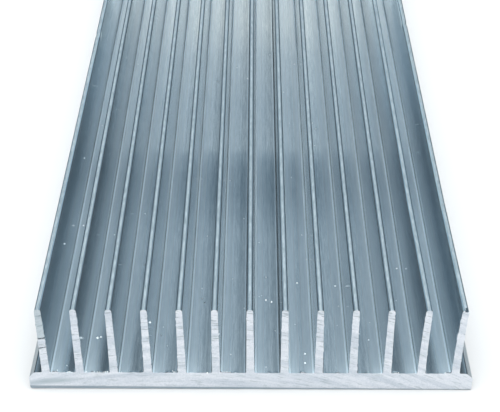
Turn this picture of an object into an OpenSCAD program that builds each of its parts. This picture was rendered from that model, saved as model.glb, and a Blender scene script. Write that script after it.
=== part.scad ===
// Extruded aluminium heat sink. A flat base plate carries a row of straight fins, all in one
// section that is pushed through a die and sawn to length. The fins thin towards their tips,
// the tips are rounded, and a small fillet runs along both sides of every root.
//
// X goes across the fins, Y along the extrusion and Z up. The origin is at the middle of the
// base plate's underside.

/* [Fins] */
// Number of fins
fin_count = 13; // [3:1:25]
// Distance between the centres of neighbouring fins
fin_pitch = 11.5; // [8:0.5:20]
// Height of the fins above the base plate
fin_height = 28; // [12:1:60]
// Thickness of a fin at its root
fin_root_thickness = 2.7; // [2.2:0.1:4]
// Thickness of a fin at its tip, before the tip is rounded
fin_tip_thickness = 2.1; // [1.8:0.1:2.6]
// Radius of the two corners of a fin's tip
tip_radius = 0.8; // [0.2:0.05:0.85]
// Radius of the fillets along a fin's root
root_radius = 0.6; // [0.2:0.1:1.8]

/* [Base plate] */
// Thickness of the base plate
base_thickness = 7.4; // [4:0.2:15]
// Distance from the centre of an outer fin to the side of the base plate
edge_margin = 6; // [4.5:0.5:25]
// Radius of the base plate's upper long edges
shoulder_radius = 2.2; // [0.5:0.1:2.4]
// Radius of the base plate's lower long edges
foot_radius = 0.6; // [0.2:0.1:1.5]

/* [Length] */
// Length of the piece from one saw cut to the other
length = 300; // [50:10:1000]

/* [Hidden] */
$fn = 48;

// Distance from the middle to the centre of an outer fin, and to the side of the base plate
fin_reach = (fin_count - 1) / 2 * fin_pitch;
half_width = fin_reach + edge_margin;

// Angle of a fin's flanks to the vertical
draft = atan((fin_root_thickness - fin_tip_thickness) / 2 / fin_height);

// Each arc crosses the straight lines that it blends into by this much, and doesn't only touch them
seam = 0.001;
// Depth to which the material of a root fillet is let into the fin and the base plate
fillet_lap = 0.3;

// Half the thickness of a fin at a height above the base plate
function half_thickness(height) = fin_root_thickness / 2 - height * tan(draft);

// What is cut away to round a corner that points to +X and +Y and has its tip at the origin
module corner_waste(radius) {
    difference() {
        translate([-radius, -radius]) square(2 * radius);
        translate([-radius, -radius]) circle(r = radius);
    }
}

// The base plate, with rounded shoulders and feet
module base_profile() {
    difference() {
        translate([-half_width, 0]) square([2 * half_width, base_thickness]);
        for (side = [0, 1])
            mirror([side, 0]) {
                translate([half_width, base_thickness]) corner_waste(shoulder_radius);
                translate([half_width, 0]) mirror([0, 1]) corner_waste(foot_radius);
            }
    }
}

// One fin on the base plate's top: each flank runs up to where the arc of the tip takes over
module fin_profile() {
    arc_z = fin_height - tip_radius;
    flank_z = arc_z + tip_radius * sin(draft);
    flank_x = half_thickness(flank_z);
    arc_x = flank_x - tip_radius * cos(draft) + seam;
    right_half = [[half_thickness(0), 0], [flank_x, flank_z], [arc_x, arc_z], [arc_x, fin_height]];
    polygon(concat(right_half, [for (i = [len(right_half) - 1 : -1 : 0]) [-right_half[i].x, right_half[i].y]]));
    for (side = [-1, 1])
        translate([side * arc_x, arc_z]) circle(r = tip_radius);
}

// The fillet between the right flank of a fin and the base plate
module root_fillet() {
    arc_z = root_radius - seam;
    flank_x = half_thickness(arc_z - root_radius * sin(draft));
    arc_x = flank_x + root_radius * cos(draft) - seam;
    inner_x = flank_x - fillet_lap;
    inner_z = arc_z - (arc_x - inner_x) * tan(draft);
    difference() {
        polygon([
            [inner_x, -fillet_lap],
            [arc_x, -fillet_lap],
            [arc_x, arc_z],
            [inner_x, inner_z]
        ]);
        translate([arc_x, arc_z]) circle(r = root_radius);
    }
}

// The whole section, with Y for its height
module section() {
    base_profile();
    for (fin = [0 : fin_count - 1])
        translate([fin * fin_pitch - fin_reach, base_thickness]) {
            fin_profile();
            for (side = [0, 1]) mirror([side, 0]) root_fillet();
        }
}

module heat_sink() {
    color("#a9bcc8")
        translate([0, length / 2, 0])
            rotate([90, 0, 0])
                linear_extrude(height = length) section();
}

heat_sink();
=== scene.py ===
"""An extruded aluminium heat sink: one body, sawn to length, with the swarf that the saw left on it."""
import math
import random

import bmesh
import bpy
from mathutils import Matrix, Vector, noise


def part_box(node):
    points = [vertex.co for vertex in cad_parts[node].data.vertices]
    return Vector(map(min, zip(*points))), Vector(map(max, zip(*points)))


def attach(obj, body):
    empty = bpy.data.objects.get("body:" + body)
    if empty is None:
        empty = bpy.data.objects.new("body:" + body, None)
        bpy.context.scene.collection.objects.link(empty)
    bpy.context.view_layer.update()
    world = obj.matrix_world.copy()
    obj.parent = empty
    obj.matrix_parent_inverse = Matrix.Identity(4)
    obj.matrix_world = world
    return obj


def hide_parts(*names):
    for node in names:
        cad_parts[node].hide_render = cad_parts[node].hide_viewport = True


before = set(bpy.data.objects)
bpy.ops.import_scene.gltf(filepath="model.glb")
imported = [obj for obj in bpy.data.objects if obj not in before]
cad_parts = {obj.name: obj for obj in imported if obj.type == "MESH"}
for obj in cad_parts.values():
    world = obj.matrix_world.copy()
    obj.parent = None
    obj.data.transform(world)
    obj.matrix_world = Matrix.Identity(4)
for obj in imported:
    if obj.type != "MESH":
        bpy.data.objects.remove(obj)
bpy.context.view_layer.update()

# ---------------------------------------------------------------------------------------------
# The extruded body
# One piece of aluminium, pushed through a die and sawn off at both ends. The base plate and the
# fins are one section: the fins thin towards rounded tips and stand on small fillets.
# ---------------------------------------------------------------------------------------------
MM = 0.001
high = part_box("heat_sink")[1]
half_width, half_length = high.x, high.y
fin_count = 13
fin_pitch = 11.5 * MM
fin_height = 28 * MM
fin_root = 2.7 * MM
fin_tip = 2.1 * MM
tip_radius = 0.8 * MM
root_radius = 0.5 * MM
shoulder_bevel = 2.2 * MM
shoulder_softness = 0.7 * MM
foot_radius = 0.6 * MM
plate_top = high.z - fin_height
channel = fin_pitch - fin_root
fin_centres = [(i - (fin_count - 1) / 2) * fin_pitch for i in range(fin_count)]
first_fin, last_fin = fin_centres[0], fin_centres[-1]
tiny = 0.01 * MM

# The section's corners: a strip of cells for the plate, with a fin drawn up from every second one
body = bmesh.new()
strip_cells = 2 * fin_count + 1
bmesh.ops.create_grid(body, x_segments=strip_cells, y_segments=1, size=1)
columns = [-half_width]
for centre in fin_centres:
    columns += [centre - fin_root / 2, centre + fin_root / 2]
columns.append(half_width)
for v in body.verts:
    column = round((v.co.x + 1) / 2 * strip_cells)
    v.co = (columns[column], -half_length, plate_top if v.co.y > 0 else 0)
for centre in fin_centres:
    root_edges = [
        e for e in body.edges
        if all(abs(v.co.x - centre) < fin_root and v.co.z > plate_top - MM for v in e.verts)
    ]
    for v in bmesh.ops.extrude_edge_only(body, edges=root_edges)["geom"]:
        if isinstance(v, bmesh.types.BMVert):
            side = 1 if v.co.x > centre else -1
            v.co = (centre + side * fin_tip / 2, -half_length, high.z)
bmesh.ops.dissolve_faces(body, faces=body.faces, use_verts=False)
bmesh.ops.dissolve_limit(
    body, angle_limit=math.radians(0.2), use_dissolve_boundaries=False,
    verts=body.verts, edges=body.edges,
)


def round_corners(corners, radius, segments):
    """Rounds corners of the section, while it is still one flat face, and returns the new vertices."""
    return bmesh.ops.bevel(
        body, geom=corners, offset=radius, offset_type="OFFSET", segments=segments,
        profile=0.5, affect="VERTICES", material=-1, clamp_overlap=False,
    )["verts"]


at_plate_top = [v for v in body.verts if abs(v.co.z - plate_top) < tiny]
tips = [v for v in body.verts if v.co.z > high.z - tiny]
feet = [v for v in body.verts if v.co.z < tiny]
roots = [v for v in at_plate_top if abs(v.co.x) < half_width - tiny]
shoulders = [v for v in at_plate_top if abs(v.co.x) > half_width - tiny]
round_corners(tips, tip_radius, 6)
round_corners(roots, root_radius, 5)
shoulder_edges = round_corners(shoulders, shoulder_bevel, 1)
round_corners(shoulder_edges, shoulder_softness, 5)
round_corners(feet, foot_radius, 4)


def cut(place, normal):
    """Gives the body a row of vertices along a plane."""
    geometry = body.verts[:] + body.edges[:] + body.faces[:]
    bmesh.ops.bisect_plane(body, geom=geometry, dist=1e-7, plane_co=place, plane_no=normal)


# Fine cells over the section, small enough to carry the marks of the die and of the saw
cell = 0.4 * MM
rows = round(high.z / cell)
for row in range(1, rows):
    cut((0, 0, row * high.z / rows), (0, 0, 1))
channel_cells = round(channel / cell)
for i, centre in enumerate(fin_centres):
    for line in (-0.5 * MM, 0, 0.5 * MM):
        cut((centre + line, 0, 0), (1, 0, 0))
    if i < fin_count - 1:
        for column in range(channel_cells + 1):
            cut((centre + fin_root / 2 + channel * column / channel_cells, 0, 0), (1, 0, 0))

# Pushed through the die, with closely spaced rows just behind each sawn end for its burrs
pushed = bmesh.ops.extrude_face_region(body, geom=body.faces[:], use_keep_orig=True)["geom"]
bmesh.ops.translate(
    body, verts=[v for v in pushed if isinstance(v, bmesh.types.BMVert)], vec=(0, 2 * half_length, 0)
)
bmesh.ops.recalc_face_normals(body, faces=body.faces)
lean_reach = 60 * MM
for station in (0.25 * MM, 0.7 * MM, 1.6 * MM, lean_reach):
    for end in (-1, 1):
        cut((0, end * (half_length - station), 0), (0, 1, 0))

# Rows for a dent in each outer fin: how far along it is, by side
dents = {-1: 38 * MM, 1: 47.7 * MM}
dent_reach = 3 * MM
for dent in dents.values():
    for share in (-1, -0.5, 0, 0.5, 1):
        cut((0, dent + share * dent_reach, 0), (0, 1, 0))

# Two score lines across the first fin's sawn end, where the blade caught: a deep one and a faint one
deep_score, faint_score = 22.7 * MM, 18.6 * MM
score_depths = {deep_score: 0.6 * MM, faint_score: 0.35 * MM}
score_slope = math.radians(12)
score_floor, score_rim = 0.1 * MM, 0.3 * MM
score_normal = Vector((-math.sin(score_slope), 0, math.cos(score_slope)))


def on_first_end(place):
    """Whether a place lies in the sawn end of the first fin."""
    return abs(place.y + half_length) < tiny and abs(place.x - first_fin) < fin_root


for score in score_depths:
    for beside in (-score_rim, -score_floor, score_floor, score_rim):
        sawn_end = [f for f in body.faces if on_first_end(f.calc_center_median())]
        sawn_edges = list({e for f in sawn_end for e in f.edges})
        sawn_corners = list({v for f in sawn_end for v in f.verts})
        place = Vector((first_fin, -half_length, score)) + score_normal * beside
        bmesh.ops.bisect_plane(
            body, geom=sawn_end + sawn_edges + sawn_corners, dist=1e-7,
            plane_co=place, plane_no=score_normal,
        )
for f in body.faces:
    f.smooth = True
    f.material_index = 1 if abs(f.normal.y) > 0.9 else 0

# Outward direction of the section at each vertex of its outline; inside a sawn face there is none
body.normal_update()
outline = {}
for v in body.verts:
    across = Vector((v.normal.x, 0, v.normal.z))
    if across.length > 0.3:
        outline[v] = across.normalized()

# Die lines: shallow grooves that keep their place in the section over the whole length
die_line_depth = 0.005 * MM
die_line_width = 0.7 * MM
for v, outward in outline.items():
    place = Vector((v.co.x, 0, v.co.z)) / die_line_width
    v.co -= outward * die_line_depth * (1 + noise.noise(place))

# Saw marks: arcs about the axis of a blade that came up from below, cut into both sawn faces
blade_x, blade_z = -25 * MM, -165 * MM
saw_mark_depth = 0.03 * MM
coarse_mark, fine_mark = 1.3 * MM, 0.55 * MM
fine_mark_share = 0.6
mean_mark = 0.8
for v in body.verts:
    if abs(v.co.y) > half_length - tiny:
        end = 1 if v.co.y > 0 else -1
        arc = math.hypot(v.co.x - blade_x, v.co.z - blade_z)
        coarse = noise.noise(Vector((arc / coarse_mark, 3 * end, 0)))
        fine = noise.noise(Vector((arc / fine_mark, 7 * end, 0)))
        v.co.y -= end * saw_mark_depth * max(0, mean_mark + coarse + fine_mark_share * fine)

# The score lines are cut in, and a fleck is torn from the last fin's tip beside its sawn end
for v in body.verts:
    if v.co.y < -half_length + 0.2 * MM and abs(v.co.x - first_fin) < fin_root:
        for score, depth in score_depths.items():
            from_line = abs((v.co - Vector((first_fin, v.co.y, score))).dot(score_normal))
            if from_line < score_floor + 2 * tiny:
                v.co.y += depth
fleck = Vector((last_fin + 0.45 * MM, -half_length, high.z))
fleck_radius = 0.9 * MM
fleck_tear = Vector((0, 1.2, -0.9))
for v in body.verts:
    reach = fleck_radius - (v.co - fleck).length
    if reach > 0:
        v.co += fleck_tear * reach

# Burrs: the blade drags a ragged lip out of the channels' edges, thicker in a few places. Each thick
# burr is a place along the front edge and half its length, in mm
burr_depth = 0.3 * MM
burr_height = 0.3 * MM
burr_grain = 1.4 * MM
thick_burrs = {-66.1: 0.9, -53.2: 0.5, -8.5: 1.6, 17.6: 0.5, 29.4: 0.4, 49.2: 0.8, 67.1: 1.7}
thick_burr_height = 0.55 * MM
thick_burr_grain = 0.5 * MM
for v, outward in outline.items():
    if abs(v.co.y) > half_length - burr_depth and plate_top - MM < v.co.z < high.z - MM:
        height = burr_height * max(0, noise.noise(v.co / burr_grain) - 0.1)
        if v.co.y < 0 and v.co.z < plate_top + root_radius:
            lump = noise.noise(Vector((v.co.x, 0, v.co.z)) / thick_burr_grain)
            for place, half_long in thick_burrs.items():
                if abs(v.co.x / MM - place) < half_long:
                    height = thick_burr_height * (0.55 + 0.45 * lump)
        v.co += outward * height

# Dents: a light knock has pressed the tips of both outer fins inwards a little
dent_depth = 0.25 * MM
for v in body.verts:
    for side, dent in dents.items():
        along = max(0, 1 - (abs(v.co.y - dent) / dent_reach) ** 2)
        down = max(0, 1 - (high.z - v.co.z) / dent_reach)
        if side * v.co.x > last_fin - fin_pitch / 2:
            v.co.x -= side * dent_depth * along * down

# The last two fins lean outwards a little, over their whole length and more at the front end
leans = {fin_centres[-2]: (0, 0.6 * MM), last_fin: (0.4 * MM, 0.45 * MM)}
for v in body.verts:
    for centre, (everywhere, at_front) in leans.items():
        if abs(v.co.x - centre) < fin_pitch / 2 and v.co.z > plate_top:
            up_the_fin = ((v.co.z - plate_top) / fin_height) ** 2
            near_front = max(0, 1 - (v.co.y + half_length) / lean_reach)
            v.co.x += up_the_fin * (everywhere + at_front * near_front)

# Both saw cuts are a little out of square, by this much from one side of the part to the other
out_of_square = 1 * MM
cut_slope = out_of_square / (2 * half_width)
cut_reach = 2 * MM
for v in body.verts:
    if abs(v.co.y) > half_length - cut_reach:
        end = 1 if v.co.y > 0 else -1
        v.co.y -= end * out_of_square / 2 + cut_slope * v.co.x

body_mesh = bpy.data.meshes.new("extruded_body")
body.to_mesh(body_mesh)
body.free()
body_mesh.set_sharp_from_angle(angle=math.radians(40))
extruded_body = bpy.data.objects.new("extruded_body", body_mesh)
bpy.context.scene.collection.objects.link(extruded_body)


def linear(hex_colour):
    """An sRGB hex colour as linear red, green, blue and alpha."""
    parts = [int(hex_colour[i:i + 2], 16) / 255 for i in (1, 3, 5)]
    return [p / 12.92 if p <= 0.04045 else ((p + 0.055) / 1.055) ** 2.4 for p in parts] + [1]


def add_node(tree, kind, links=None, **settings):
    """Adds a node with its settings. Each link is an input's name or number, with a socket or a value."""
    node = tree.nodes.new(kind)
    for name, value in settings.items():
        setattr(node, name, value)
    for name, source in (links or {}).items():
        if isinstance(source, bpy.types.NodeSocket):
            tree.links.new(source, node.inputs[name])
        else:
            node.inputs[name].default_value = source
    return node


# Mill-finish aluminium, as it leaves the die: a dull blue-grey skin of oxide, drawn into fine
# lines along the extrusion, so that it is nearly a mirror lengthwise and scatters light across.
# Real die lines lie closer together, and these are as coarse as they need to be to show
line_spacing = 1.0 * MM
cloud_size = 14 * MM
streak_spacing = 0.45 * MM
mill_finish = bpy.data.materials.new("mill_finish_aluminium")
mill_finish.use_nodes = True
tree = mill_finish.node_tree
tree.nodes.clear()
place = add_node(tree, "ShaderNodeTexCoord").outputs["Object"]
normal = add_node(tree, "ShaderNodeNewGeometry").outputs["Normal"]
across = add_node(
    tree, "ShaderNodeVectorMath", {0: normal, 1: (0, 1, 0)}, operation="CROSS_PRODUCT"
).outputs["Vector"]
section_place = add_node(
    tree, "ShaderNodeMapping", {"Vector": place, "Scale": (1, 0.004, 1)}
).outputs["Vector"]
die_lines = add_node(
    tree, "ShaderNodeTexNoise",
    {"Vector": section_place, "Scale": 1 / line_spacing, "Detail": 3, "Roughness": 0.65},
).outputs["Fac"]
cloud_place = add_node(
    tree, "ShaderNodeMapping", {"Vector": place, "Scale": (1, 0.15, 1)}
).outputs["Vector"]
clouds = add_node(
    tree, "ShaderNodeTexNoise",
    {"Vector": cloud_place, "Scale": 1 / cloud_size, "Detail": 3, "Roughness": 0.5},
).outputs["Fac"]
lined = add_node(
    tree, "ShaderNodeMix", {0: die_lines, 6: linear("#a9b9c3"), 7: linear("#e7f1f6")},
    data_type="RGBA",
).outputs[2]
streak_place = add_node(
    tree, "ShaderNodeMapping", {"Vector": place, "Scale": (1, 0.06, 1)}
).outputs["Vector"]
fine_streaks = add_node(
    tree, "ShaderNodeTexNoise",
    {"Vector": streak_place, "Scale": 1 / streak_spacing, "Detail": 3, "Roughness": 0.7},
).outputs["Fac"]
fine_share = add_node(
    tree, "ShaderNodeMapRange", {"Value": fine_streaks, "From Min": 0.3, "From Max": 0.7}
).outputs["Result"]
streaked = add_node(
    tree, "ShaderNodeMix", {0: fine_share, 6: linear("#d6dde1"), 7: linear("#ffffff")},
    data_type="RGBA",
).outputs[2]
skin = add_node(
    tree, "ShaderNodeMix", {0: 1.0, 6: lined, 7: streaked}, data_type="RGBA", blend_type="MULTIPLY"
).outputs[2]

# Handling has rubbed a narrow bright strip along the crest of every fin
crest_edge, crest_top = high.z - 0.05 * MM, high.z - 0.015 * MM
parts = add_node(tree, "ShaderNodeSeparateXYZ", {"Vector": place})
height = parts.outputs["Z"]
crest = add_node(
    tree, "ShaderNodeMapRange", {"Value": height, "From Min": crest_edge, "From Max": crest_top}
).outputs["Result"]

# Painted highlight: a pale, rough strip along the foot of each fin, on its side towards the middle channel,
# thinning out over the channel's floor, stands in for the glint along the foot and the lighter floor beside
# it. A little lies at the channel's other side too
middle_channel = 1.5 * fin_pitch
sheen_start = fin_root / 2 + 0.6 * MM
strip_end = fin_root / 2 + 1.1 * MM
sheen_fade_end = fin_root / 2 + 6.5 * MM
far_foot = fin_pitch - fin_root / 2
far_strip_start, far_strip_end = far_foot - 0.9 * MM, far_foot - 0.4 * MM
floor_top, floor_edge = plate_top + 0.08 * MM, plate_top + 0.25 * MM
from_middle = add_node(
    tree, "ShaderNodeMath", {0: parts.outputs["X"], 1: middle_channel}, operation="SUBTRACT"
).outputs["Value"]
outwards = add_node(
    tree, "ShaderNodeMath", {0: from_middle}, operation="ABSOLUTE"
).outputs["Value"]
to_fin = add_node(
    tree, "ShaderNodeMath", {0: fin_pitch / 2, 1: outwards}, operation="SUBTRACT"
).outputs["Value"]
from_fin = add_node(
    tree, "ShaderNodeMath", {0: to_fin, 1: fin_pitch}, operation="FLOORED_MODULO"
).outputs["Value"]
foot_strip = add_node(
    tree, "ShaderNodeMapRange", {"Value": from_fin, "From Min": strip_end, "From Max": sheen_start}
).outputs["Result"]
off_middle = add_node(
    tree, "ShaderNodeMath", {0: parts.outputs["X"]}, operation="ABSOLUTE"
).outputs["Value"]
sheen_strength = add_node(
    tree, "ShaderNodeMapRange",
    {"Value": off_middle, "From Max": last_fin, "To Min": 0.42, "To Max": 0.72},
).outputs["Result"]
sheen_fade = add_node(
    tree, "ShaderNodeMapRange",
    {"Value": from_fin, "From Min": sheen_fade_end, "From Max": sheen_start, "To Max": sheen_strength},
).outputs["Result"]
far_strip = add_node(
    tree, "ShaderNodeMapRange",
    {"Value": from_fin, "From Min": far_strip_start, "From Max": far_strip_end, "To Max": 0.35},
).outputs["Result"]
both_feet = add_node(
    tree, "ShaderNodeMath", {0: foot_strip, 1: far_strip}, operation="MAXIMUM"
).outputs["Value"]
sheen_falloff = add_node(
    tree, "ShaderNodeMath", {0: both_feet, 1: sheen_fade}, operation="MAXIMUM"
).outputs["Value"]
between_fins = add_node(
    tree, "ShaderNodeMath", {0: off_middle, 1: last_fin}, operation="LESS_THAN"
).outputs["Value"]
near_floor = add_node(
    tree, "ShaderNodeMapRange", {"Value": height, "From Min": floor_edge, "From Max": floor_top}
).outputs["Result"]
on_floor = add_node(
    tree, "ShaderNodeMath", {0: between_fins, 1: near_floor}, operation="MULTIPLY"
).outputs["Value"]
sheen_on_floor = add_node(
    tree, "ShaderNodeMath", {0: sheen_falloff, 1: on_floor}, operation="MULTIPLY"
).outputs["Value"]
sheen_clouds = add_node(
    tree, "ShaderNodeMapRange", {"Value": clouds, "To Min": 0.6, "To Max": 1.4}
).outputs["Result"]
painted_sheen = add_node(
    tree, "ShaderNodeMath", {0: sheen_on_floor, 1: sheen_clouds}, operation="MULTIPLY", use_clamp=True
).outputs["Value"]
strip = add_node(
    tree, "ShaderNodeMath", {0: foot_strip, 1: painted_sheen}, operation="MULTIPLY"
).outputs["Value"]
rough = add_node(tree, "ShaderNodeMath", {0: crest, 1: strip}, operation="MAXIMUM").outputs["Value"]

# Painted shade: each floor is darker towards its right, short of the next fin's foot, which shades it;
# right at that foot the painted shade lifts again
shade_start = 2.5 * MM
unshade_start, unshade_end = channel - 1.1 * MM, channel - 0.7 * MM
floor_darkest = 0.72
from_flank = add_node(
    tree, "ShaderNodeMath", {0: parts.outputs["X"], 1: fin_root / 2}, operation="SUBTRACT"
).outputs["Value"]
over_floor = add_node(
    tree, "ShaderNodeMath", {0: from_flank, 1: fin_pitch}, operation="FLOORED_MODULO"
).outputs["Value"]
floor_shade = add_node(
    tree, "ShaderNodeMapRange",
    {
        "Value": over_floor, "From Min": shade_start, "From Max": channel,
        "To Min": 1.0, "To Max": floor_darkest,
    },
).outputs["Result"]
unshaded_foot = add_node(
    tree, "ShaderNodeMapRange",
    {
        "Value": over_floor, "From Min": unshade_start, "From Max": unshade_end,
        "To Min": floor_darkest,
    },
).outputs["Result"]
floor_shade = add_node(
    tree, "ShaderNodeMath", {0: floor_shade, 1: unshaded_foot}, operation="MAXIMUM"
).outputs["Value"]

# Painted light and shade: towards the far end the floors near both sides are lighter, and the feet of the
# inner fins darker
outer_floors = add_node(
    tree, "ShaderNodeMapRange",
    {"Value": off_middle, "From Min": 12 * MM, "From Max": 45 * MM, "To Max": 0.2},
).outputs["Result"]
far_floors = add_node(
    tree, "ShaderNodeMapRange",
    {"Value": parts.outputs["Y"], "From Min": -10 * MM, "From Max": 40 * MM},
).outputs["Result"]
far_floor_light = add_node(
    tree, "ShaderNodeMath", {0: outer_floors, 1: far_floors, 2: 1.0}, operation="MULTIPLY_ADD"
).outputs["Value"]
floor_shade = add_node(
    tree, "ShaderNodeMath", {0: floor_shade, 1: far_floor_light}, operation="MULTIPLY"
).outputs["Value"]
inner_fins = add_node(
    tree, "ShaderNodeMath", {0: off_middle, 1: last_fin - fin_root}, operation="LESS_THAN"
).outputs["Value"]
far_feet = add_node(
    tree, "ShaderNodeMapRange",
    {"Value": parts.outputs["Y"], "From Min": -70 * MM, "From Max": -10 * MM},
).outputs["Result"]
far_feet_shade = add_node(
    tree, "ShaderNodeMath", {0: far_feet, 1: inner_fins}, operation="MULTIPLY"
).outputs["Value"]
foot_shade = add_node(
    tree, "ShaderNodeMath", {0: far_feet_shade, 1: -0.12, 2: 0.63}, operation="MULTIPLY_ADD"
).outputs["Value"]
foot_top = add_node(
    tree, "ShaderNodeMath", {0: far_feet_shade, 1: 7 * MM, 2: plate_top + 2 * MM}, operation="MULTIPLY_ADD"
).outputs["Value"]

# Painted shade: outside the outer fins the floor is darker beside the fin, and the plate's shoulders are
# darker too
margin_start = last_fin + fin_root / 2 + 0.8 * MM
margin_end = last_fin + fin_root / 2 + 2.2 * MM
shoulder_start = half_width - shoulder_bevel
margin_shade = add_node(
    tree, "ShaderNodeMapRange",
    {"Value": off_middle, "From Min": margin_start, "From Max": margin_end, "To Min": 0.45},
).outputs["Result"]
shoulder_shade = add_node(
    tree, "ShaderNodeMapRange",
    {
        "Value": off_middle, "From Min": shoulder_start - 0.3 * MM, "From Max": shoulder_start,
        "To Min": 1.0, "To Max": 0.5,
    },
).outputs["Result"]
margin_shade = add_node(
    tree, "ShaderNodeMath", {0: margin_shade, 1: shoulder_shade}, operation="MULTIPLY"
).outputs["Value"]
floor_shade = add_node(
    tree, "ShaderNodeMix", {"Factor": between_fins, 2: margin_shade, 3: floor_shade},
    data_type="FLOAT",
).outputs["Result"]

# Painted shade and light: each flank is darkest at its foot, and the flanks of the fins at both sides are
# painted lighter higher up
first_side = add_node(
    tree, "ShaderNodeMath", {0: parts.outputs["X"], 1: first_fin + fin_root}, operation="LESS_THAN"
).outputs["Value"]
last_side = add_node(
    tree, "ShaderNodeMapRange",
    {"Value": parts.outputs["X"], "From Min": fin_centres[-3], "From Max": last_fin},
).outputs["Result"]
outer_fins = add_node(
    tree, "ShaderNodeMath", {0: first_side, 1: last_side}, operation="MAXIMUM"
).outputs["Value"]
outer_flank_light = add_node(
    tree, "ShaderNodeMapRange", {"Value": outer_fins, "To Min": 1.0, "To Max": 1.55}
).outputs["Result"]
flank_shade = add_node(
    tree, "ShaderNodeMapRange",
    {
        "Value": height, "From Min": foot_top, "From Max": plate_top + 22 * MM,
        "To Min": foot_shade, "To Max": outer_flank_light,
    },
).outputs["Result"]
shade = add_node(
    tree, "ShaderNodeMix", {"Factor": near_floor, 2: flank_shade, 3: floor_shade}, data_type="FLOAT"
).outputs["Result"]

# Painted shade: the outer edges of the two outer fins' tips are darkened
outer_edge = add_node(
    tree, "ShaderNodeMapRange",
    {"Value": off_middle, "From Min": last_fin + 0.4 * MM, "From Max": last_fin + 0.7 * MM},
).outputs["Result"]
at_tip = add_node(
    tree, "ShaderNodeMapRange",
    {"Value": height, "From Min": high.z - 0.9 * MM, "From Max": high.z - 0.75 * MM},
).outputs["Result"]
dark_edge = add_node(
    tree, "ShaderNodeMath", {0: outer_edge, 1: at_tip}, operation="MULTIPLY"
).outputs["Value"]
edge_shade = add_node(
    tree, "ShaderNodeMapRange", {"Value": dark_edge, "To Min": 1.0, "To Max": 0.4}
).outputs["Result"]
shade = add_node(
    tree, "ShaderNodeMath", {0: shade, 1: edge_shade}, operation="MULTIPLY"
).outputs["Value"]
shaded = add_node(
    tree, "ShaderNodeVectorMath", {0: skin, "Scale": shade}, operation="SCALE"
).outputs["Vector"]

# The painted highlight lies over the skin, and the rubbed crests are bare metal with dull patches. The
# highlight strip and the rubbing both roughen the surface and hide its drawn lines
rub_size = 0.9 * MM
with_painted_sheen = add_node(
    tree, "ShaderNodeMix", {0: painted_sheen, 6: shaded, 7: linear("#cfe1ed")}, data_type="RGBA"
).outputs[2]
rub_place = add_node(
    tree, "ShaderNodeMapping", {"Vector": place, "Scale": (1, 0.25, 1)}
).outputs["Vector"]
rub = add_node(
    tree, "ShaderNodeTexNoise",
    {"Vector": rub_place, "Scale": 1 / rub_size, "Detail": 3, "Roughness": 0.6},
).outputs["Fac"]
rub_share = add_node(
    tree, "ShaderNodeMapRange", {"Value": rub, "From Min": 0.35, "From Max": 0.65}
).outputs["Result"]
rubbed = add_node(
    tree, "ShaderNodeMix", {0: rub_share, 6: linear("#a3b2bb"), 7: linear("#c4d1d8")},
    data_type="RGBA",
).outputs[2]
colour = add_node(
    tree, "ShaderNodeMix", {0: crest, 6: with_painted_sheen, 7: rubbed}, data_type="RGBA"
).outputs[2]
bare_metal = add_node(
    tree, "ShaderNodeMapRange", {"Value": painted_sheen, "To Min": 0.95, "To Max": 0.1}
).outputs["Result"]
gloss = add_node(
    tree, "ShaderNodeMapRange", {"Value": rough, "To Min": 0.07, "To Max": 0.5}
).outputs["Result"]
drawn = add_node(
    tree, "ShaderNodeMapRange", {"Value": rough, "To Min": 1.0, "To Max": 0.2}
).outputs["Result"]
shader = add_node(
    tree, "ShaderNodeBsdfPrincipled",
    {
        "Base Color": colour, "Metallic": bare_metal, "Roughness": gloss, "Anisotropic": drawn,
        "Tangent": across,
    },
)
add_node(tree, "ShaderNodeOutputMaterial", {"Surface": shader.outputs["BSDF"]})
body_mesh.materials.append(mill_finish)

# Sawn aluminium: bright bare metal, torn into arcs by the teeth, so that it scatters light widely.
# Real tooth marks are finer, and these are as coarse as they need to be to show
tooth_spacing = 0.6 * MM
wide_streak = 2.6 * MM
grain_size = 0.5 * MM
arc_reach = 180 * MM
saw_cut = bpy.data.materials.new("saw_cut_aluminium")
saw_cut.use_nodes = True
tree = saw_cut.node_tree
tree.nodes.clear()
place = add_node(tree, "ShaderNodeTexCoord").outputs["Object"]
from_blade = add_node(
    tree, "ShaderNodeVectorMath", {0: place, 1: (blade_x, 0, blade_z)}, operation="SUBTRACT"
).outputs["Vector"]
legs = add_node(tree, "ShaderNodeSeparateXYZ", {"Vector": from_blade})
leg_x_squared = add_node(
    tree, "ShaderNodeMath", {0: legs.outputs["X"], 1: 2.0}, operation="POWER"
).outputs["Value"]
leg_z_squared = add_node(
    tree, "ShaderNodeMath", {0: legs.outputs["Z"], 1: 2.0}, operation="POWER"
).outputs["Value"]
arc_squared = add_node(
    tree, "ShaderNodeMath", {0: leg_x_squared, 1: leg_z_squared}, operation="ADD"
).outputs["Value"]
arc = add_node(tree, "ShaderNodeMath", {0: arc_squared}, operation="SQRT").outputs["Value"]
swing = add_node(
    tree, "ShaderNodeMath", {0: legs.outputs["X"], 1: legs.outputs["Z"]}, operation="ARCTAN2"
).outputs["Value"]
along_arc = add_node(
    tree, "ShaderNodeMath", {0: swing, 1: arc_reach}, operation="MULTIPLY"
).outputs["Value"]
arc_place = add_node(
    tree, "ShaderNodeCombineXYZ", {"X": arc, "Y": along_arc}
).outputs["Vector"]
stroke_place = add_node(
    tree, "ShaderNodeMapping", {"Vector": arc_place, "Scale": (1, 0.12, 1)}
).outputs["Vector"]
tooth_marks = add_node(
    tree, "ShaderNodeTexNoise",
    {"Vector": stroke_place, "Scale": 1 / tooth_spacing, "Detail": 2, "Roughness": 0.6},
).outputs["Fac"]
streak_place = add_node(
    tree, "ShaderNodeMapping", {"Vector": arc_place, "Scale": (1, 0.07, 1)}
).outputs["Vector"]
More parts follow.
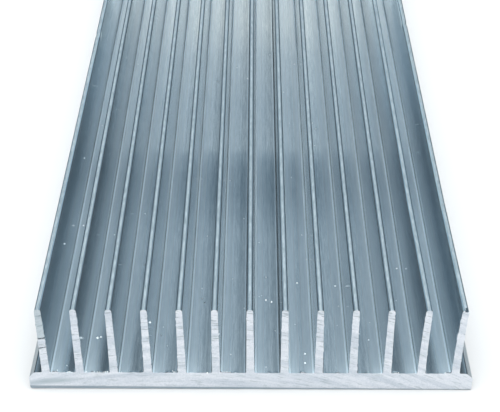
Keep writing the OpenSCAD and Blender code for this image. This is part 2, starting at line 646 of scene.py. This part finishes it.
streaks = add_node(
    tree, "ShaderNodeTexNoise",
    {"Vector": streak_place, "Scale": 1 / wide_streak, "Detail": 2, "Roughness": 0.5},
).outputs["Fac"]
grain = add_node(
    tree, "ShaderNodeTexNoise",
    {"Vector": place, "Scale": 1 / grain_size, "Detail": 2, "Roughness": 0.6},
).outputs["Fac"]
torn_share = add_node(
    tree, "ShaderNodeMapRange", {"Value": tooth_marks, "From Min": 0.35, "From Max": 0.43}
).outputs["Result"]
streak_share = add_node(
    tree, "ShaderNodeMapRange", {"Value": streaks, "From Min": 0.36, "From Max": 0.58}
).outputs["Result"]
grain_share = add_node(
    tree, "ShaderNodeMapRange", {"Value": grain, "From Min": 0.35, "From Max": 0.6}
).outputs["Result"]

# The teeth left their marks mainly on the fins; the base, cut last, is smoother
fins_start, fins_end = plate_top - blade_z, high.z - blade_z
up_the_face = add_node(
    tree, "ShaderNodeMapRange",
    {"Value": legs.outputs["Z"], "From Min": fins_start, "From Max": fins_end, "To Min": 0.25},
).outputs["Result"]
stroke_colour = add_node(
    tree, "ShaderNodeMix", {0: up_the_face, 6: linear("#c9cfd4"), 7: linear("#9aa3a9")},
    data_type="RGBA",
).outputs[2]
torn = add_node(
    tree, "ShaderNodeMix", {0: torn_share, 6: stroke_colour, 7: linear("#d5d8de")},
    data_type="RGBA",
).outputs[2]
streaked = add_node(
    tree, "ShaderNodeMix", {0: streak_share, 6: linear("#e8ecef"), 7: linear("#ffffff")},
    data_type="RGBA",
).outputs[2]
grained = add_node(
    tree, "ShaderNodeMix", {0: grain_share, 6: linear("#eff2f4"), 7: linear("#ffffff")},
    data_type="RGBA",
).outputs[2]
marked = add_node(
    tree, "ShaderNodeMix", {0: 1.0, 6: torn, 7: streaked}, data_type="RGBA", blend_type="MULTIPLY"
).outputs[2]
bare = add_node(
    tree, "ShaderNodeMix", {0: 1.0, 6: marked, 7: grained}, data_type="RGBA", blend_type="MULTIPLY"
).outputs[2]

# A dull streak at the left of the base, rising to the right, where the blade dragged
streak_centre = Vector((-67 * MM, 0, 3.4 * MM))
streak_size = Vector((12 * MM, 1, 1.7 * MM))
streak_rise = math.radians(6)
on_streak = add_node(
    tree, "ShaderNodeMapping",
    {"Vector": place, "Location": streak_centre, "Rotation": (0, -streak_rise, 0), "Scale": streak_size},
    vector_type="TEXTURE",
).outputs["Vector"]
flat_streak = add_node(
    tree, "ShaderNodeVectorMath", {0: on_streak, 1: (1, 0, 1)}, operation="MULTIPLY"
).outputs["Vector"]
off_streak = add_node(
    tree, "ShaderNodeVectorMath", {0: flat_streak}, operation="LENGTH"
).outputs["Value"]
dull_share = add_node(
    tree, "ShaderNodeMapRange", {"Value": off_streak, "From Min": 1.0, "From Max": 0.3, "To Max": 0.75}
).outputs["Result"]
bare = add_node(
    tree, "ShaderNodeMix", {0: dull_share, 6: bare, 7: linear("#a3afb5")}, data_type="RGBA"
).outputs[2]

# The first fin's end is duller above the deep score line
smear_start, smear_end = deep_score - 0.3 * MM, deep_score + 0.5 * MM
spots = add_node(tree, "ShaderNodeSeparateXYZ", {"Vector": place})
above_score = add_node(
    tree, "ShaderNodeMapRange",
    {"Value": spots.outputs["Z"], "From Min": smear_start, "From Max": smear_end},
).outputs["Result"]
on_first_fin = add_node(
    tree, "ShaderNodeMath", {0: spots.outputs["X"], 1: first_fin + fin_root}, operation="LESS_THAN"
).outputs["Value"]
smeared = add_node(
    tree, "ShaderNodeMath", {0: above_score, 1: on_first_fin}, operation="MULTIPLY"
).outputs["Value"]
smear_colour = add_node(
    tree, "ShaderNodeMix", {0: smeared, 6: linear("#ffffff"), 7: linear("#dde4e4")},
    data_type="RGBA",
).outputs[2]
bare = add_node(
    tree, "ShaderNodeMix", {0: 1.0, 6: bare, 7: smear_colour}, data_type="RGBA", blend_type="MULTIPLY"
).outputs[2]

# Painted shadow: a dark strip along the lower edge, wider at the left, for the shadow line where the base
# meets the table
edge_slope = 0.007
edge_height = 0.65 * MM
shadow_line_top, shadow_line_low = edge_height + 0.25 * MM, edge_height - 0.1 * MM
above_edge = add_node(
    tree, "ShaderNodeMath", {0: spots.outputs["X"], 1: edge_slope, 2: spots.outputs["Z"]},
    operation="MULTIPLY_ADD",
).outputs["Value"]
shadow_line_share = add_node(
    tree, "ShaderNodeMapRange",
    {"Value": above_edge, "From Min": shadow_line_top, "From Max": shadow_line_low, "To Max": 0.8},
).outputs["Result"]
bare = add_node(
    tree, "ShaderNodeMix", {0: shadow_line_share, 6: bare, 7: linear("#7f8f99")}, data_type="RGBA"
).outputs[2]

# Painted shade: what lies deeper than the teeth's own marks, such as the floors of the score lines, is
# darkened
cut_plane = half_length - out_of_square / 2
deepest, mark_floor = cut_plane - 0.3 * MM, cut_plane - 0.14 * MM
squared = add_node(
    tree, "ShaderNodeMath", {0: spots.outputs["X"], 1: cut_slope, 2: spots.outputs["Y"]},
    operation="MULTIPLY_ADD",
).outputs["Value"]
depth_of_cut = add_node(
    tree, "ShaderNodeMath", {0: squared}, operation="ABSOLUTE"
).outputs["Value"]
open_share = add_node(
    tree, "ShaderNodeMapRange",
    {"Value": depth_of_cut, "From Min": deepest, "From Max": mark_floor},
).outputs["Result"]
bare = add_node(
    tree, "ShaderNodeMix", {0: open_share, 6: linear("#4a5964"), 7: bare}, data_type="RGBA"
).outputs[2]
relief = add_node(
    tree, "ShaderNodeBump", {"Height": tooth_marks, "Distance": 0.02 * MM, "Strength": 1.0}
).outputs["Normal"]
shader = add_node(
    tree, "ShaderNodeBsdfPrincipled",
    {"Base Color": bare, "Metallic": 0.8, "Roughness": 0.5, "Normal": relief},
)
add_node(tree, "ShaderNodeOutputMaterial", {"Surface": shader.outputs["BSDF"]})
body_mesh.materials.append(saw_cut)

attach(extruded_body, "root")
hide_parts("heat_sink")

# ---------------------------------------------------------------------------------------------
# The swarf
# Curls and crumbs of bright bare aluminium which the blade threw into the channels and which cling
# there, and the beads that it left hanging on the upper edge of the base.
# ---------------------------------------------------------------------------------------------
bright_aluminium = bpy.data.materials.new("bright_bare_aluminium")
bright_aluminium.use_nodes = True
flake = bright_aluminium.node_tree.nodes["Principled BSDF"]
flake.inputs["Base Color"].default_value = linear("#f4f7f9")
flake.inputs["Metallic"].default_value = 1.0
flake.inputs["Roughness"].default_value = 0.3

chance = random.Random(7)
swarf = bmesh.new()
# The larger curls, in mm: how far across, along and up each one lies, and its size
on_floor_mm = 7.4
curls = [
    (-65.7, -67.2, on_floor_mm, 0.9), (54.4, -94.1, on_floor_mm, 0.8), (17.0, -102.4, on_floor_mm, 0.8),
    (30.9, -104.2, on_floor_mm, 0.9), (5.5, -112.0, on_floor_mm, 0.8), (7.5, -113.1, on_floor_mm, 0.9),
    (18.7, -140.3, on_floor_mm, 0.9), (18.6, -144.8, on_floor_mm, 0.9), (-53.3, -132.1, on_floor_mm, 1.3),
    (-52.2, -131.6, on_floor_mm, 0.9), (-33.3, -143.1, 24.4, 0.9), (-67.8, -37.2, 19.1, 0.7),
    (-67.8, -97.8, 22.3, 0.9), (-10.3, -146.4, 22.2, 0.7),
]
curl_width, curl_thickness = 0.6, 0.1
curl_squeeze = 0.7
curl_lift = 0.09
for across_mm, along_mm, height_mm, size_mm in curls:
    size = size_mm * MM
    curl = bmesh.ops.create_cube(swarf, size=1)["verts"]
    curl_faces = list({f for v in curl for f in v.link_faces})
    for bend_line in (-0.3, -0.1, 0.1, 0.3):
        edges = list({e for f in curl_faces for e in f.edges})
        pieces = bmesh.ops.bisect_plane(
            swarf, geom=curl + edges + curl_faces, dist=1e-7, plane_co=(bend_line, 0, 0), plane_no=(1, 0, 0)
        )["geom"]
        curl = [p for p in pieces if isinstance(p, bmesh.types.BMVert)]
        curl_faces = [p for p in pieces if isinstance(p, bmesh.types.BMFace)]
    bend = chance.uniform(0.8, 1.8)
    turned = Matrix.Rotation(chance.uniform(0, 2 * math.pi), 3, "Z")
    tipped = Matrix.Rotation(chance.uniform(0.25, 0.45), 3, "X")
    home = Vector((across_mm, along_mm, height_mm)) * MM + Vector((0, 0, curl_lift * size))
    for v in curl:
        radius = size / bend + v.co.z * curl_thickness * size
        angle = v.co.x * bend
        bent = Vector((
            radius * math.sin(angle) * curl_squeeze,
            v.co.y * size * curl_width,
            size / bend - radius * math.cos(angle),
        ))
        v.co = tipped @ turned @ bent + home
    sunk = plate_top - min(v.co.z for v in curl)
    if height_mm == on_floor_mm and sunk > 0:
        for v in curl:
            v.co.z += sunk

crumb_count = 60
crumb_reach = 220 * MM
for _ in range(crumb_count):
    channel_number = chance.randrange(fin_count - 1)
    middle = (fin_centres[channel_number] + fin_centres[channel_number + 1]) / 2
    size = chance.uniform(0.12, 0.26) * MM
    crumb = bmesh.ops.create_icosphere(swarf, subdivisions=1, radius=size)["verts"]
    home = Vector((
        middle + chance.uniform(-0.42, 0.42) * channel,
        -half_length + chance.random() ** 1.6 * crumb_reach,
        plate_top + size * 0.6,
    ))
    for v in crumb:
        v.co = v.co * chance.uniform(0.7, 1.2) + home

# Beads of burr hang on the upper edge of the base, in rows where the blade left each channel: from
# and to, in mm across, and how many beads
bead_rows = [
    (-67.0, -65.2, 7), (-61.5, -60.5, 2), (-56.0, -47.5, 9), (-26.5, -25.0, 2), (-10.1, -6.8, 14),
    (17.0, 18.2, 3), (29.0, 30.0, 2), (48.5, 50.0, 5), (65.4, 67.4, 6),
]
for first, last, bead_count in bead_rows:
    for _ in range(bead_count):
        size = chance.uniform(0.13, 0.26) * MM
        bead = bmesh.ops.create_icosphere(swarf, subdivisions=1, radius=size)["verts"]
        along_edge = chance.uniform(first, last) * MM
        cut_face = -cut_plane - cut_slope * along_edge
        home = Vector((along_edge, cut_face + 1.3 * size, plate_top + chance.uniform(-0.05, 0.2) * MM))
        for v in bead:
            v.co = v.co * chance.uniform(0.75, 1.15) + home
bmesh.ops.recalc_face_normals(swarf, faces=swarf.faces)
swarf_mesh = bpy.data.meshes.new("swarf")
swarf.to_mesh(swarf_mesh)
swarf.free()
swarf_mesh.materials.append(bright_aluminium)
swarf_flakes = bpy.data.objects.new("swarf", swarf_mesh)
bpy.context.scene.collection.objects.link(swarf_flakes)
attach(swarf_flakes, "root")

# ---------------------------------------------------------------------------------------------
# The studio
# A white table, a soft sky with a darker gap between the wall and the light overhead, and the
# camera in front of one sawn end, looking down along the fins.
# ---------------------------------------------------------------------------------------------
# The base is a little bowed, so that the paper under its front edge lies in a thin line of shadow
table_gap = 0.25 * MM
table_half_width = 4
table = bmesh.new()
bmesh.ops.create_grid(table, x_segments=8, y_segments=8, size=table_half_width)
bmesh.ops.translate(table, verts=table.verts, vec=(0, 0, -table_gap))
table_mesh = bpy.data.meshes.new("table")
table.to_mesh(table_mesh)
table.free()
table_top = bpy.data.objects.new("table", table_mesh)
bpy.context.scene.collection.objects.link(table_top)
white_card = bpy.data.materials.new("white_card")
white_card.use_nodes = True
card = white_card.node_tree.nodes["Principled BSDF"]
card.inputs["Base Color"].default_value = linear("#d2d1d2")
card.inputs["Roughness"].default_value = 0.9
table_mesh.materials.append(white_card)

world = bpy.data.worlds.new("studio")
bpy.context.scene.world = world
world.use_nodes = True
tree = world.node_tree
tree.nodes.clear()
direction = add_node(tree, "ShaderNodeTexCoord").outputs["Generated"]
parts = add_node(tree, "ShaderNodeSeparateXYZ", {"Vector": direction})
sideways = add_node(
    tree, "ShaderNodeMath", {0: parts.outputs["X"]}, operation="ABSOLUTE"
).outputs["Value"]
azimuth = add_node(
    tree, "ShaderNodeMath", {0: sideways, 1: parts.outputs["Y"]}, operation="ARCTAN2"
).outputs["Value"]
elevation = add_node(
    tree, "ShaderNodeMath", {0: parts.outputs["Z"]}, operation="ARCSINE"
).outputs["Value"]


def brightness_ramp(tree, value, lowest, highest, stops, dark_tint, bright_tint):
    """A ramp from (value, brightness) pairs; dim light is bluer. The colours are half the brightness."""
    share = add_node(
        tree, "ShaderNodeMapRange", {"Value": value, "From Min": lowest, "From Max": highest}
    ).outputs["Result"]
    ramp = add_node(tree, "ShaderNodeValToRGB", {"Fac": share})
    while len(ramp.color_ramp.elements) < len(stops):
        ramp.color_ramp.elements.new(0.5)
    for stop, (place_on_ramp, brightness) in zip(ramp.color_ramp.elements, stops):
        stop.position = (place_on_ramp - lowest) / (highest - lowest)
        bright = min(1, max(0, (brightness - 0.3) / 0.5))
        tint = [d + (b - d) * bright for d, b in zip(dark_tint, bright_tint)]
        stop.color = [t * brightness / 2 for t in tint] + [1]
    return ramp.outputs["Color"]


# The sky's brightness by the degrees round from straight ahead: dim ahead, bright behind the camera
dim_tint = (0.78, 1, 1.18)
full_tint = (0.97, 1, 0.99)
sky_stops = [(0, 0.26), (15, 0.26), (20, 0.36), (50, 0.36), (75, 1.3), (180, 1.3)]
ahead = brightness_ramp(
    tree, azimuth, 0, math.pi, [(math.radians(degrees), b) for degrees, b in sky_stops],
    dim_tint, full_tint,
)
low_share = add_node(
    tree, "ShaderNodeMapRange",
    {
        "Value": elevation, "From Min": math.radians(28), "From Max": math.radians(32),
        "To Min": 1.5, "To Max": 0.85,
    },
).outputs["Result"]
# Low down to both sides of the far end the sky is dimmer; on the near side it stays as bright
tilt = add_node(
    tree, "ShaderNodeMath", {0: sideways, 1: parts.outputs["Z"]}, operation="ARCTAN2"
).outputs["Value"]
above_horizon = add_node(
    tree, "ShaderNodeMapRange",
    {"Value": tilt, "From Min": math.radians(66), "From Max": math.radians(51), "To Min": 0.45},
).outputs["Result"]
in_front = add_node(
    tree, "ShaderNodeMath", {0: azimuth, 1: math.radians(62)}, operation="GREATER_THAN"
).outputs["Value"]
low_light = add_node(
    tree, "ShaderNodeMath", {0: above_horizon, 1: in_front}, operation="MAXIMUM"
).outputs["Value"]
shape = add_node(
    tree, "ShaderNodeMath", {0: low_share, 1: low_light}, operation="MULTIPLY"
).outputs["Value"]
ahead_shaped = add_node(
    tree, "ShaderNodeVectorMath", {0: ahead, "Scale": shape}, operation="SCALE"
).outputs["Vector"]
# A wide lamp overhead is much brighter than the sky round it
lamp_edge, lamp_full = math.radians(50), math.radians(62)
lamp = 3.6 / 2
overhead = add_node(
    tree, "ShaderNodeMapRange", {"Value": elevation, "From Min": lamp_edge, "From Max": lamp_full}
).outputs["Result"]
both = add_node(
    tree, "ShaderNodeMix", {0: overhead, 6: ahead_shaped, 7: (0.97 * lamp, lamp, lamp, 1)},
    data_type="RGBA",
).outputs[2]
light = add_node(
    tree, "ShaderNodeBackground", {"Color": both, "Strength": 2.0}
).outputs["Background"]
backdrop = add_node(
    tree, "ShaderNodeBackground", {"Color": linear("#fdfdfe"), "Strength": 1.0}
).outputs["Background"]
seen = add_node(tree, "ShaderNodeLightPath").outputs["Is Camera Ray"]
shown = add_node(
    tree, "ShaderNodeMixShader", {0: seen, 1: light, 2: backdrop}
).outputs["Shader"]
add_node(tree, "ShaderNodeOutputWorld", {"Surface": shown})

# A lit wall beyond the far end, which the metal mirrors: dimmer in a band at the middle of its height
wall_distance = 1000 * MM
wall_half_width = 190 * MM
wall_low, wall_high = 150 * MM, 1500 * MM
wall = bmesh.new()
bmesh.ops.create_grid(wall, x_segments=1, y_segments=1, size=1)
for v in wall.verts:
    v.co = (v.co.x * wall_half_width, wall_distance, wall_low if v.co.y > 0 else wall_high)
wall_mesh = bpy.data.meshes.new("lit_wall")
wall.to_mesh(wall_mesh)
wall.free()
lit_wall = bpy.data.objects.new("lit_wall", wall_mesh)
bpy.context.scene.collection.objects.link(lit_wall)
lit_wall.visible_camera = False
wall_light = bpy.data.materials.new("wall_light")
wall_light.use_nodes = True
tree = wall_light.node_tree
tree.nodes.clear()
place = add_node(tree, "ShaderNodeTexCoord").outputs["Object"]
height = add_node(tree, "ShaderNodeSeparateXYZ", {"Vector": place}).outputs["Z"]
# How bright the wall is by the height on it, in metres
wall_stops = [
    (0.40, 0.94), (0.48, 0.85), (0.53, 0.65), (0.606, 0.54), (0.678, 0.55), (0.688, 0.42),
    (0.702, 0.35), (0.722, 0.305), (0.756, 0.3), (0.786, 0.345), (0.814, 0.41), (0.846, 0.45),
    (0.973, 0.48), (1.04, 0.5), (1.109, 0.54),
]
glow = brightness_ramp(tree, height, 0.4, 1.2, wall_stops, dim_tint, full_tint)
emission = add_node(
    tree, "ShaderNodeEmission", {"Color": glow, "Strength": 2.35}
).outputs["Emission"]
add_node(tree, "ShaderNodeOutputMaterial", {"Surface": emission})
wall_mesh.materials.append(wall_light)

camera_data = bpy.data.cameras.new("camera")
camera_data.lens = 87.32
camera_data.sensor_width = 36
camera = bpy.data.objects.new("camera", camera_data)
bpy.context.scene.collection.objects.link(camera)
camera_place = Vector((2.98, -445.74, 294.16)) * MM
look_down = 0.6322
turn = 0.0090
roll = -0.0074
camera.matrix_world = (
    Matrix.Translation(camera_place)
    @ Matrix.Rotation(turn, 4, "Z")
    @ Matrix.Rotation(math.pi / 2 - look_down, 4, "X")
    @ Matrix.Rotation(roll, 4, "Z")
)
bpy.context.scene.camera = camera
bpy.context.scene.view_settings.view_transform = "Standard"
